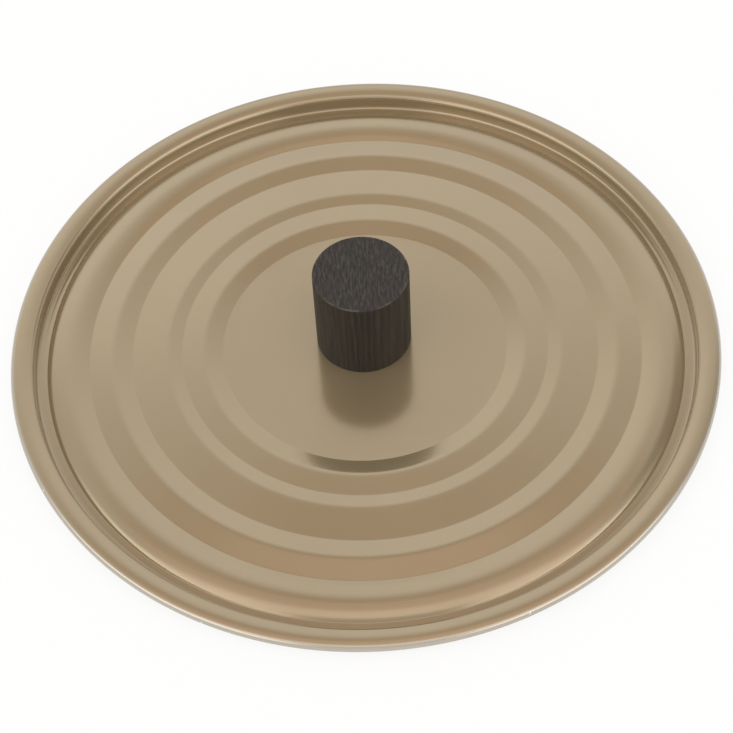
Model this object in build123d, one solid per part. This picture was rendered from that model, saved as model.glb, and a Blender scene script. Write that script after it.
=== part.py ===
from build123d import *
import math
import os

# Lid of a large candle tin: one pressed and beaded disc of lacquered steel sheet,
# with a turned wooden knob held by a thin-headed screw driven up from underneath.
# Millimetres. The origin is in the middle of the disc, on the level that it rests on.

# Sheet and outside size
sheet = 0.28
lid_radius = 82.0

# Levels of the flat middle and the groove, above the level that the lid rests on
groove_level = sheet
panel_level = 1.03

# Beads: widths of each rise and fall in turn, and heights above the flat middle where they end
bead_widths = [4.2, 5.3, 3.2, 8.3, 4.5, 5.55]
bead_heights = [0.87, 0.47, 0.95, 0.22, 1.08, 0.04]
crest_bend = 4.0
valley_bend = 0.5

# Domed shoulder between the beads and the groove, in the same way
shoulder_widths = [2.25, 2.6, 2.8, 1.5, 0.7]
shoulder_heights = [0.69, 1.04, 0.55, -0.07, -0.60]
shoulder_bends = [14.0, 8.0, 8.0, 4.0, 0.3]

# Groove with its sloping inner part, and the plug wall that leans outwards
groove_slope_width = 1.3
groove_flat_width = 1.25
groove_slope_bend = 1.0
wall_foot_bend = 0.7
wall_lean = 0.3

# Flange: widths from the wall to the edge, and heights above the groove from the wall's top on
flange_widths = [1.85, 1.4, 2.0]
flange_heights = [3.37, 3.84, 3.97, 3.50]
flange_bends = [1.2, 5.0, 5.0, 1.1]

# Edge rolled under, with a short flat between its bends and the gap that closes it
roll_width = 1.36
roll_height = 1.68
roll_flat = 0.04
roll_gap = 0.76

# Wooden knob
knob_radius = 11.0
knob_height = 22.5
knob_top_round = 0.35
knob_foot_round = 0.25
knob_off_middle = 2.5

# Screw from underneath
screw_core_radius = 1.5
screw_length = 15.0
screw_point_length = 3.0
screw_tip_radius = 0.15
screw_head_radius = 4.5
screw_head_clearance = 0.15
screw_head_round = 0.4
screw_hole_clearance = 0.6
pilot_clearance = 0.02
pilot_spare_depth = 1.0
recess_width = 0.9
recess_reach = 1.9
recess_depth = 1.5
recess_end = 0.45

# Levels and radii worked out from the sizes above, so that the flat middle takes what is left
wall_foot_radius = lid_radius - sum(flange_widths) - wall_lean
groove_inner_radius = wall_foot_radius - groove_flat_width - groove_slope_width
flat_radius = groove_inner_radius - sum(shoulder_widths) - sum(bead_widths)
screw_seat_level = panel_level - sheet
screw_head_height = screw_seat_level - screw_head_clearance
knob_axis = Location((0, knob_off_middle, 0))
upward = (Align.CENTER, Align.CENTER, Align.MIN)


def offset_corner(before, corner, after, distance):
    """Corner of the line that runs parallel to two legs, at a distance to their right."""
    leg_in = (Vector(*corner) - Vector(*before)).normalized()
    leg_out = (Vector(*after) - Vector(*corner)).normalized()
    right_in = Vector(leg_in.Y, -leg_in.X)
    right_out = Vector(leg_out.Y, -leg_out.X)
    middle = (right_in + right_out) * (distance / (1 + right_in.dot(right_out)))
    turn = math.copysign(1, leg_in.X * leg_out.Y - leg_in.Y * leg_out.X)
    return (corner[0] + middle.X, corner[1] + middle.Y), turn


def sheet_section(corners, bends, thickness):
    """Closed half section of a bent sheet: its upper face follows the corners with the bends."""
    under, under_bends = [], []
    for i in range(1, len(corners) - 1):
        corner, turn = offset_corner(corners[i - 1], corners[i], corners[i + 1], thickness)
        under.append(corner)
        under_bends.append(bends[i - 1] + turn * thickness)
    first = (corners[0][0], corners[0][1] - thickness)
    leg = (Vector(*corners[-1]) - Vector(*corners[-2])).normalized()
    last = (corners[-1][0] + leg.Y * thickness, corners[-1][1] - leg.X * thickness)
    upper_face = FilletPolyline(*corners, radius=bends)
    lower_face = FilletPolyline(first, *under, last, radius=under_bends)
    return make_face([upper_face, Line(corners[-1], last), lower_face, Line(corners[0], first)])


def pressed_lid():
    """Disc, beads, shoulder, groove, plug wall, flange and rolled edge as one sheet, with the hole."""
    corners = [(0, panel_level), (flat_radius, panel_level)]
    bends = [valley_bend]
    bead_bends = [crest_bend, valley_bend] * (len(bead_widths) // 2)
    widths, heights = bead_widths + shoulder_widths, bead_heights + shoulder_heights
    for width, height, bend in zip(widths, heights, bead_bends + shoulder_bends):
        corners.append((corners[-1][0] + width, panel_level + height))
        bends.append(bend)
    corners += [
        (groove_inner_radius + groove_slope_width, groove_level),
        (wall_foot_radius, groove_level),
    ]
    bends += [groove_slope_bend, wall_foot_bend]
    for width, height, bend in zip([wall_lean] + flange_widths, flange_heights, flange_bends):
        corners.append((corners[-1][0] + width, groove_level + height))
        bends.append(bend)

    # The edge turns down, in and up again, with bends that almost meet
    roll_bottom = corners[-1][1] - roll_height
    roll_inner_radius = lid_radius - roll_width
    corners += [
        (lid_radius, roll_bottom),
        (roll_inner_radius, roll_bottom),
        (roll_inner_radius, roll_bottom + roll_height - roll_gap),
    ]
    bends += 2 * [(roll_width - roll_flat) / 2]
    section = sheet_section(corners, bends, sheet)
    disc = revolve(Plane.XZ * section, Axis.Z)
    hole = Cylinder(screw_core_radius + screw_hole_clearance, 4 * panel_level)
    return disc - knob_axis * hole


def wooden_knob():
    """Plain turned cylinder with eased edges and a pilot hole up its middle."""
    body = Cylinder(knob_radius, knob_height, align=upward)
    rims = body.edges().filter_by(GeomType.CIRCLE).sort_by(Axis.Z)
    body = fillet(rims[-1], knob_top_round)
    foot = body.edges().filter_by(GeomType.CIRCLE).sort_by(Axis.Z)[0]
    body = fillet(foot, knob_foot_round)
    depth = screw_length - sheet + pilot_spare_depth
    bore = Cylinder(screw_core_radius + pilot_clearance, depth, align=upward)
    return knob_axis * Location((0, 0, panel_level)) * (body - bore)


def knob_screw():
    """Thin rounded head under the sheet, core of the thread with its point, cross recess."""
    head = Cylinder(screw_head_radius, screw_head_height, align=upward)
    rim = head.edges().filter_by(GeomType.CIRCLE).sort_by(Axis.Z)[0]
    head = fillet(rim, screw_head_round)
    core_length = screw_length - screw_point_length
    core = Location((0, 0, screw_head_height)) * Cylinder(screw_core_radius, core_length, align=upward)
    point = Cone(screw_core_radius, screw_tip_radius, screw_point_length, align=upward)
    point = Location((0, 0, screw_head_height + core_length)) * point
    slot = Box(4 * recess_reach, recess_width, recess_depth, align=upward)
    cross = slot + Rotation(0, 0, 90) * slot
    taper = Cone(recess_reach, recess_end, recess_depth, align=upward)
    place = knob_axis * Location((0, 0, screw_head_clearance))
    return place * (head + core + point - (cross & taper))


os.makedirs("parts", exist_ok=True)
export_step(pressed_lid(), "parts/pressed_lid.step")
export_step(wooden_knob(), "parts/wooden_knob.step")
export_step(knob_screw(), "parts/knob_screw.step")
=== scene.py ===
import math

import bpy
import numpy as np
from mathutils import Matrix, Vector


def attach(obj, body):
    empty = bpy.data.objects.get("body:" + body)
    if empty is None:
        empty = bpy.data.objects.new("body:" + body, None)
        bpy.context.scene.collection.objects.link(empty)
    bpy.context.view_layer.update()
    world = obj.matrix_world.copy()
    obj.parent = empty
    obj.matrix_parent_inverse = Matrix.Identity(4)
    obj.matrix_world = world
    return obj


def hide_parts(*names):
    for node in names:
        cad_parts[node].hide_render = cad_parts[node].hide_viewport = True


# Looks of a candle tin lid: a beaded disc of lacquered sheet with a dark turned wooden knob.
# Metres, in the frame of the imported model: the lid rests on z = 0, the camera stands towards -y.

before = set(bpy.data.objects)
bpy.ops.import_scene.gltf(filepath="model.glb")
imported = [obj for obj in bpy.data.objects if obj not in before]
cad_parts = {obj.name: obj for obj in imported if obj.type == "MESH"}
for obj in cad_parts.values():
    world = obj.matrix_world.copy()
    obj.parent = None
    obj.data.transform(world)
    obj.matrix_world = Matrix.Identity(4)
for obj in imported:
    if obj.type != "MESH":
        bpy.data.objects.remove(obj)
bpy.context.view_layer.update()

MM = 0.001

# Section of the upper face of the sheet, from the middle outwards, in millimetres: each corner's
# radius and height, and the bend that rounds it
SHEET = 0.28
PANEL, GROOVE = 1.03, 0.28
LID_CORNERS = [
    (33.0, PANEL, 0.5), (37.2, 1.90, 4.0),
    (42.5, 1.50, 0.5), (45.7, 1.98, 4.0),
    (54.0, 1.25, 0.5), (58.5, 2.11, 4.0),
    (64.05, 1.07, 0.5), (66.3, 1.72, 14.0), (68.9, 2.07, 8.0),
    (71.7, 1.58, 8.0), (73.2, 0.96, 4.0), (73.9, 0.43, 0.3),
    (75.2, GROOVE, 1.0), (76.45, GROOVE, 0.7),
    (76.75, 3.65, 1.2), (78.6, 4.12, 5.0), (80.0, 4.25, 5.0), (82.0, 3.78, 1.1),
    (82.0, 2.10, 0.66), (80.64, 2.10, 0.66),
]
ROLL_END = (80.64, 3.02)
HOLE_RADIUS = 2.1
KNOB_OFF_MIDDLE = 2.5
LID_STEPS_ROUND = 360

# Radius inside which the lid's circles of points move over towards the knob's axis
SHIFT_RADIUS = 30.0

# Knob, with the level of its top and the place of the pith that its growth rings run round
KNOB_RADIUS, KNOB_HEIGHT = 11.0, 22.5
KNOB_TOP = PANEL + KNOB_HEIGHT
KNOB_TOP_ROUND, KNOB_FOOT_ROUND = 0.35, 0.25
BORE_RADIUS, BORE_DEPTH = 1.52, 15.72
KNOB_STEPS_ROUND = 420
GRAIN_DEPTH = 0.03
RING_PITCH = 1.25
PITH = (-58.0, 15.0)

# Camera: its place in metres, how far it looks down and leans, and its lens on a 36 mm sensor
CAMERA_PLACE = (0.0001, -0.2835, 0.36995)
CAMERA_PITCH, CAMERA_ROLL = math.radians(53.131), math.radians(-3.421)
SENSOR_WIDTH, FOCAL_LENGTH = 36.0, 98.22

# Share of plain white in the floor, where the camera or a reflection sees it
FLOOR_WHITE = 0.88
FLOOR_SIDE = 3.0


# Mesh building

def lathe_mesh(name, points, closed, material, node):
    """A closed surface from points[i, j], which is closed round in j.

    It is closed round in i as well, or else its first and last rows have shrunk to the two poles.
    """
    rows, columns = points.shape[:2]
    place = np.arange(rows * columns).reshape(rows, columns)
    vertices = points.reshape(-1, 3)
    fans = np.empty((0, 3), dtype=int)
    if closed:
        here, there = place, np.roll(place, -1, axis=0)
    else:
        first, last = place[1], place[-2]
        top = np.stack([np.full(columns, place[0, 0]), first, np.roll(first, -1)], axis=-1)
        foot = np.stack([np.full(columns, place[-1, 0]), np.roll(last, -1), last], axis=-1)
        fans = np.concatenate([top, foot])
        here, there = place[1:-2], place[2:-1]
    quads = np.stack([here, there, np.roll(there, -1, axis=1), np.roll(here, -1, axis=1)], axis=-1)
    corners = np.concatenate([quads.ravel(), fans.ravel()])
    used, corners = np.unique(corners, return_inverse=True)
    sides = np.concatenate([np.full(quads.size // 4, 4), np.full(len(fans), 3)])
    mesh = bpy.data.meshes.new(name)
    mesh.vertices.add(len(used))
    mesh.vertices.foreach_set("co", (vertices[used] * MM).astype(np.float32).ravel())
    mesh.loops.add(len(corners))
    mesh.loops.foreach_set("vertex_index", corners.astype(np.int32))
    mesh.polygons.add(len(sides))
    mesh.polygons.foreach_set("loop_start", (np.cumsum(sides) - sides).astype(np.int32))
    mesh.polygons.foreach_set("loop_total", sides.astype(np.int32))
    mesh.update(calc_edges=True)
    mesh.validate()
    mesh.shade_smooth()
    mesh.set_sharp_from_angle(angle=math.radians(50))
    mesh.materials.append(material)
    piece = bpy.data.objects.new(name, mesh)
    bpy.context.collection.objects.link(piece)
    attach(piece, "root")
    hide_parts(node)


def bent_line(start, corners, end, step, supports):
    """Points and left-hand normals along straight legs joined by arcs.

    An arc of a bend's radius meets both legs of its corner, and is cut into steps of at most
    `step` radians. Each leg gets points at its given shares of the length between its arcs.
    """
    line = np.array([start] + [c[:2] for c in corners] + [end], dtype=float)
    bends = np.array([c[2] for c in corners])
    legs = np.diff(line, axis=0)
    lengths = np.linalg.norm(legs, axis=1)
    along = legs / lengths[:, None]
    left = np.stack([-along[:, 1], along[:, 0]], axis=1)
    turns = np.arctan2(along[:-1, 0] * along[1:, 1] - along[:-1, 1] * along[1:, 0],
                       (along[:-1] * along[1:]).sum(axis=1))
    cuts = bends * np.tan(np.abs(turns) / 2)
    cut_before = np.concatenate([[0], cuts])
    cut_after = np.concatenate([cuts, [0]])
    points, normals = [], []
    for i in range(len(legs)):
        free = lengths[i] - cut_before[i] - cut_after[i]
        reach = cut_before[i] + free * np.array(supports[i])
        points.append(line[i] + along[i] * reach[:, None])
        normals.append(np.repeat(left[i:i + 1], len(reach), axis=0))
        if i < len(turns):
            side = math.copysign(1, turns[i])
            tangent = line[i + 1] - along[i] * cuts[i]
            centre = tangent + left[i] * side * bends[i]
            swept = turns[i] * np.linspace(0, 1, max(3, math.ceil(abs(turns[i]) / step)) + 1)
            cos, sin = np.cos(swept)[:, None], np.sin(swept)[:, None]
            normal = left[i] * cos - along[i] * sin
            points.append(centre - normal * side * bends[i])
            normals.append(normal)
    return np.concatenate(points), np.concatenate(normals)


def pressed_lid(material):
    """The sheet's closed section carried once round the middle.

    Upper face = the bent line. Lower face = the same line moved by the sheet's thickness against
    its normal. Near the screw's hole the circles move towards the knob's axis, in the flat middle.
    """
    start, end = (HOLE_RADIUS, PANEL), ROLL_END
    legs = len(LID_CORNERS) + 1
    upper, _ = bent_line(start, LID_CORNERS, end, math.radians(5), legs * [[0, 0.12, 0.5, 0.88, 1]])
    lower, normals = bent_line(start, LID_CORNERS, end, math.radians(10), legs * [[0, 0.2, 0.8, 1]])
    section = np.concatenate([upper, (lower - normals * SHEET)[::-1]])
    apart = np.linalg.norm(section - np.roll(section, 1, axis=0), axis=1) > 1e-5
    radius, height = section[apart].T[:, :, None]
    angle = np.arange(LID_STEPS_ROUND) * (2 * math.pi / LID_STEPS_ROUND)
    share = np.clip((SHIFT_RADIUS - radius) / (SHIFT_RADIUS - HOLE_RADIUS), 0, 1)
    points = np.stack([radius * np.cos(angle), radius * np.sin(angle) + KNOB_OFF_MIDDLE * share,
                       height + 0 * angle], axis=-1)
    lathe_mesh("pressed_lid_sheet", points, True, material, "pressed_lid")


def ring_wave(x, y):
    """Growth rings: 0 to 1 across each ring, counted by the distance from a pith beside the knob."""
    distance = np.hypot(x - PITH[0], y - PITH[1])
    wander = 0.35 * np.sin(0.31 * y + 0.9) + 0.2 * np.sin(0.83 * y + 0.4 * x)
    return np.mod(distance / RING_PITCH + wander, 1.0)


def wooden_knob(material):
    """A turned profile carried round the knob's axis, from the top's middle down to the bore's end.

    The surface sinks against its normal where the soft wood of a ring lies.
    """
    corners = [
        (KNOB_RADIUS, KNOB_HEIGHT, KNOB_TOP_ROUND),
        (KNOB_RADIUS, 0, KNOB_FOOT_ROUND),
        (BORE_RADIUS, 0, 0.05),
        (BORE_RADIUS, BORE_DEPTH, 0.05),
    ]
    few = np.linspace(0, 1, 9)
    section, normal = bent_line((0, KNOB_HEIGHT), corners, (0, BORE_DEPTH), math.radians(12),
                                [np.linspace(0, 1, 70), few, few, few, few])
    apart = np.linalg.norm(np.diff(section, axis=0, prepend=-1), axis=1) > 1e-5
    section, normal = section[apart], normal[apart]
    angle = np.arange(KNOB_STEPS_ROUND) * (2 * math.pi / KNOB_STEPS_ROUND)
    x, y = section[:, :1] * np.cos(angle), section[:, :1] * np.sin(angle)
    on_outside = np.hypot(x, y) > BORE_RADIUS + 0.3
    sink = GRAIN_DEPTH * ring_wave(x, y) ** 3 * (on_outside | (section[:, 1:] > BORE_DEPTH + 1))
    radius = section[:, :1] - normal[:, :1] * sink
    height = section[:, 1:] - normal[:, 1:] * sink
    points = np.stack([radius * np.cos(angle), radius * np.sin(angle) + KNOB_OFF_MIDDLE,
                       height + PANEL], axis=-1)
    lathe_mesh("wooden_knob_turned", points, False, material, "wooden_knob")


# Shader building

class Shade:
    """A socket of a node tree. Arithmetic on it adds Math nodes, and node() adds any other node."""

    def __init__(self, tree, socket=None):
        self.tree, self.socket = tree, socket

    def node(self, kind, settings, values, output=0):
        """Adds a node: its settings first, then its sockets' values or links."""
        made = self.tree.nodes.new(kind)
        for name, value in settings.items():
            setattr(made, name, value)
        for name, value in values.items():
            if isinstance(value, Shade):
                self.tree.links.new(value.socket, made.inputs[name])
            else:
                made.inputs[name].default_value = value
        return Shade(self.tree, made.outputs[output])

    def maths(self, operation, *terms):
        return self.node("ShaderNodeMath", {"operation": operation}, dict(enumerate(terms)))

    def __add__(self, other):
        return self.maths("ADD", self, other)

    def __radd__(self, other):
        return self.maths("ADD", other, self)

    def __sub__(self, other):
        return self.maths("SUBTRACT", self, other)

    def __rsub__(self, other):
        return self.maths("SUBTRACT", other, self)

    def __mul__(self, other):
        return self.maths("MULTIPLY", self, other)

    def __rmul__(self, other):
        return self.maths("MULTIPLY", other, self)

    def __truediv__(self, other):
        return self.maths("DIVIDE", self, other)

    def __pow__(self, other):
        return self.maths("POWER", self, other)

    def between(self, low, high):
        """Smooth step: 0 on the first value's side, 1 on the second's."""
        return self.node("ShaderNodeMapRange", {"interpolation_type": "SMOOTHSTEP"},
                         {0: self, 1: low, 2: high, 3: 0.0, 4: 1.0})

    def blend(self, first, second):
        """Mixes two colours by this value."""
        return self.node("ShaderNodeMix", {"data_type": "RGBA"}, {0: self, 6: first, 7: second}, output=2)

    def blended(self, other):
        """This colour times another."""
        return self.node("ShaderNodeMix", {"data_type": "RGBA", "blend_type": "MULTIPLY"},
                         {0: 1.0, 6: self, 7: other}, output=2)

    def noise(self, place, scale, detail=2.0, roughness=0.5):
        """Cloudy values of 0 to 1."""
        return self.node("ShaderNodeTexNoise", {},
                         {"Vector": place, "Scale": scale, "Detail": detail, "Roughness": roughness})

    def placed(self, middle):
        """Object coordinates counted from a middle, which is given in millimetres."""
        coordinates = self.node("ShaderNodeTexCoord", {}, {}, output="Object")
        return coordinates.stretched(Location=[-distance * MM for distance in middle])

    def stretched(self, **changes):
        """These coordinates with a Mapping node's changes, such as Scale."""
        return self.node("ShaderNodeMapping", {"vector_type": "POINT"}, {"Vector": self, **changes})

    def bump(self, height, strength, distance):
        """Normals of a surface with that height, for a relief that is finer than the mesh."""
        return self.node("ShaderNodeBump", {}, {"Strength": strength, "Distance": distance, "Height": height})

    def split(self):
        """The x, y and z of these coordinates."""
        return [self.node("ShaderNodeSeparateXYZ", {}, {"Vector": self}, output=i) for i in range(3)]


def finish_of(name):
    """A new material's Shade, and its Principled shader."""
    material = bpy.data.materials.new(name)
    material.use_nodes = True
    shader = material.node_tree.nodes["Principled BSDF"]
    return material, Shade(material.node_tree), shader


def feed(tree, shader, **links):
    """Sets or links the shader's sockets; an underscore in a name stands for a space."""
    for name, value in links.items():
        socket = shader.inputs[name.replace("_", " ")]
        if isinstance(value, Shade):
            tree.links.new(value.socket, socket)
        else:
            socket.default_value = value


def rgba(red, green, blue):
    """An opaque colour."""
    return (red, green, blue, 1.0)


def lacquered_sheet():
    """Champagne lacquer over tinned steel: satin, a little cloudy, worn on the rolled edge, with a painted
    sheen and painted glints there.
    """
    material, at, shader = finish_of("lacquered_sheet")
    place = at.placed((0, 0, 0))
    x, y, _ = place.split()
    radius = at.maths("SQRT", x * x + y * y)
    edge = LID_CORNERS[-2][0] * MM
    clouds = at.noise(place, 22.0, 3.0)
    mottle = at.noise(place, 420.0, 3.0, 0.6)
    tone = clouds.between(0.3, 0.7).blend(rgba(0.320, 0.248, 0.145), rgba(0.338, 0.263, 0.155))
    tone = (mottle.between(0.35, 0.75) * 0.25).blend(tone, rgba(0.312, 0.242, 0.141))
    chip_and_glint_noise = at.noise(place, 260.0, 4.0, 0.65).between(0.66, 0.70)
    # Paler band on the rolled edge: lacquer worn thin, and a painted sheen that lightens the edge.
    worn_band_and_sheen = radius.between(edge - 0.0012, edge - 0.0004) * (0.50 + 0.3 * clouds)
    tone = worn_band_and_sheen.blend(tone, rgba(0.50, 0.475, 0.42))
    # Near-white flecks along the rolled edge: chips of worn lacquer, and painted glints.
    chips_and_painted_glints = radius.between(edge - 0.0008, edge - 0.0003) * chip_and_glint_noise
    tone = chips_and_painted_glints.blend(tone, rgba(0.80, 0.79, 0.77))
    satin = 0.155 + 0.03 * clouds + 0.03 * mottle
    peel = at.noise(place, 650.0, 2.0) * 0.6 + at.noise(place, 60.0, 1.0) * 2.0
    feed(at.tree, shader, Base_Color=tone, Metallic=0.58, Roughness=satin,
         Normal=at.bump(peel, 0.06, 0.0001), Coat_Weight=1.0, Coat_Roughness=0.1)
    return material


def dark_wood():
    """Black-brown stained wood: growth rings across the top, fibres down the sides, worn edges."""
    material, at, shader = finish_of("dark_wood")
    place = at.placed((0, KNOB_OFF_MIDDLE, 0))
    x, y, z = place.split()
    from_pith = at.maths("SQRT", (x - PITH[0] * MM) ** 2.0 + (y - PITH[1] * MM) ** 2.0)
    wander = at.noise(place, 90.0, 2.0) * 1.4
    rings = at.maths("FRACT", from_pith / (RING_PITCH * MM) + wander)
    fibres = at.noise(place.stretched(Scale=(1.0, 1.0, 0.04)), 1500.0, 3.0, 0.6)
    along_grain = place.stretched(Rotation=(0, 0, 0.15), Scale=(1.0, 0.17, 0.04))
    strokes = at.noise(along_grain, 2100.0, 3.0, 0.65)
    patches = at.noise(place, 130.0, 2.0)
    top, side = KNOB_TOP * MM, KNOB_RADIUS * MM
    on_top = z.between(top - 0.00023, top - 0.00003)
    tone = rings.between(0.1, 0.9).blend(rgba(0.013, 0.011, 0.0095), rgba(0.022, 0.019, 0.016))
    tone = (strokes.between(0.42, 0.66) * (0.25 + 0.45 * on_top)).blend(tone, rgba(0.062, 0.056, 0.050))
    tone = (patches.between(0.4, 0.7) * 0.4).blend(tone, rgba(0.030, 0.021, 0.015))
    radius = at.maths("SQRT", x * x + y * y)
    rim = radius.between(side - 0.0006, side - 0.0001) * z.between(top - 0.00033, top - 0.00003)
    rim = rim * at.noise(place, 500.0, 2.0).between(0.40, 0.65)
    tone = rim.blend(tone, rgba(0.085, 0.066, 0.048))
    gloss = 0.36 + 0.18 * fibres + 0.06 * patches
    relief = fibres * 0.7 + strokes * 0.6 + rings * 0.3
    feed(at.tree, shader, Base_Color=tone, Roughness=gloss, Normal=at.bump(relief, 0.5, 0.0001),
         Specular_IOR_Level=0.3)
    return material


def zinc_screw():
    """Bright zinc plating with a faint bluish cloudiness and fine turning lines."""
    material, at, shader = finish_of("zinc_screw")
    place = at.placed((0, KNOB_OFF_MIDDLE, 0))
    x, y, _ = place.split()
    radius = at.maths("SQRT", x * x + y * y)
    clouds = at.noise(place, 500.0, 3.0)
    tone = clouds.between(0.3, 0.7).blend(rgba(0.56, 0.57, 0.58), rgba(0.64, 0.64, 0.62))
    lines = at.maths("SINE", radius * 30000.0)
    feed(at.tree, shader, Base_Color=tone, Metallic=1.0, Roughness=0.22 + 0.16 * clouds,
         Normal=at.bump(lines + clouds, 0.15, 0.00005))
    return material


# Floor, light and camera

def stage_floor():
    """A wide pale sheet, white to the camera, that keeps a soft shadow."""
    mesh = bpy.data.meshes.new("floor")
    signs = np.array([(-1, -1, 0), (1, -1, 0), (1, 1, 0), (-1, 1, 0)])
    mesh.from_pydata((signs * FLOOR_SIDE).tolist(), [], [(0, 1, 2, 3)])
    floor = bpy.data.objects.new("floor", mesh)
    bpy.context.collection.objects.link(floor)
    material, at, shader = finish_of("pale_floor")
    feed(at.tree, shader, Base_Color=rgba(0.82, 0.82, 0.81), Roughness=0.9)
    seen = at.node("ShaderNodeLightPath", {}, {}, output="Is Camera Ray")
    glossy = at.node("ShaderNodeLightPath", {}, {}, output="Is Glossy Ray")
    share = at.maths("MAXIMUM", seen, glossy) * FLOOR_WHITE
    white = at.node("ShaderNodeEmission", {}, {"Color": rgba(1, 1, 1), "Strength": 1.0})
    shadowed = Shade(at.tree, shader.outputs[0])
    mixed = at.node("ShaderNodeMixShader", {}, {0: share, 1: shadowed, 2: white})
    at.tree.links.new(mixed.socket, at.tree.nodes["Material Output"].inputs["Surface"])
    mesh.materials.append(material)


def stage_world():
    """Soft room light by direction, from parts that each cover what comes before them.

    Pale and brighter far off, brown overhead and rosy nearer, bright in front with a brighter patch
    on each side, dark at the far right, and plain again round the horizon.
    """
    world = bpy.data.worlds.new("soft_room")
    world.use_nodes = True
    bpy.context.scene.world = world
    at = Shade(world.node_tree)
    x, y, z = at.node("ShaderNodeTexCoord", {}, {}, output="Generated").split()
    overhead = z.between(0.80, 0.90)
    aside = at.maths("ABSOLUTE", x).between(0.22, 0.42)
    bright_sides = z.between(0.78, 0.62)

    room = y.between(0.47, 0.72).blend(rgba(0.83, 0.83, 0.82), rgba(1.20, 1.20, 1.19))
    room = x.between(0.4, -0.4).blend(rgba(0.95, 0.95, 0.96), rgba(1.05, 1.05, 1.04)).blended(room)
    room = (y.between(0.50, 0.41) * overhead).blend(room, rgba(0.69, 0.565, 0.47))
    room = (y.between(0.31, 0.14) * overhead).blend(room, rgba(1.05, 0.84, 0.75))

    front = aside.blend(rgba(1.55, 1.38, 1.33), rgba(1.85, 1.71, 1.65))
    room = y.between(0.08, -0.18).blend(room, front)
    low_front = y.between(-0.35, -0.60) * aside.between(1.0, 0.0)
    room = low_front.blend(room, rgba(0.80, 0.78, 0.76))

    far_right = x.between(0.40, 0.62) * y.between(0.1, 0.25) * y.between(0.62, 0.50)
    room = far_right.blend(room, rgba(0.30, 0.29, 0.28))
    right_patch = x.between(0.22, 0.45) * y.between(0.05, -0.15) * bright_sides
    left_patch = x.between(-0.22, -0.45) * y.between(0.35, -0.10) * bright_sides
    room = right_patch.blend(room, rgba(2.4, 2.4, 2.35))
    room = left_patch.blend(room, rgba(2.4, 2.4, 2.35))
    room = z.between(0.48, 0.34).blend(room, rgba(0.90, 0.90, 0.89))

    seen = at.node("ShaderNodeLightPath", {}, {}, output="Is Camera Ray")
    at.tree.links.new(seen.blend(room, rgba(1, 1, 1)).socket,
                      world.node_tree.nodes["Background"].inputs["Color"])


def stage_camera():
    """Camera from its place, its pitch below the horizon and its roll."""
    ahead = Vector((0, math.cos(CAMERA_PITCH), -math.sin(CAMERA_PITCH)))
    right = Vector((1, 0, 0))
    down = ahead.cross(right)
    across = math.cos(CAMERA_ROLL) * right - math.sin(CAMERA_ROLL) * down
    lower = math.sin(CAMERA_ROLL) * right + math.cos(CAMERA_ROLL) * down
    lens = bpy.data.cameras.new("camera")
    lens.sensor_width, lens.lens = SENSOR_WIDTH, FOCAL_LENGTH
    lens.clip_start, lens.clip_end = 0.01, 20.0
    camera = bpy.data.objects.new("camera", lens)
    turn = Matrix((across, -lower, -ahead)).transposed().to_4x4()
    camera.matrix_world = Matrix.Translation(CAMERA_PLACE) @ turn
    bpy.context.collection.objects.link(camera)
    bpy.context.scene.camera = camera


pressed_lid(lacquered_sheet())
wooden_knob(dark_wood())
screw_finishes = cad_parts["knob_screw"].data.materials
screw_finishes.clear()
screw_finishes.append(zinc_screw())

stage_floor()
stage_world()
stage_camera()
bpy.context.scene.view_settings.view_transform = "Standard"
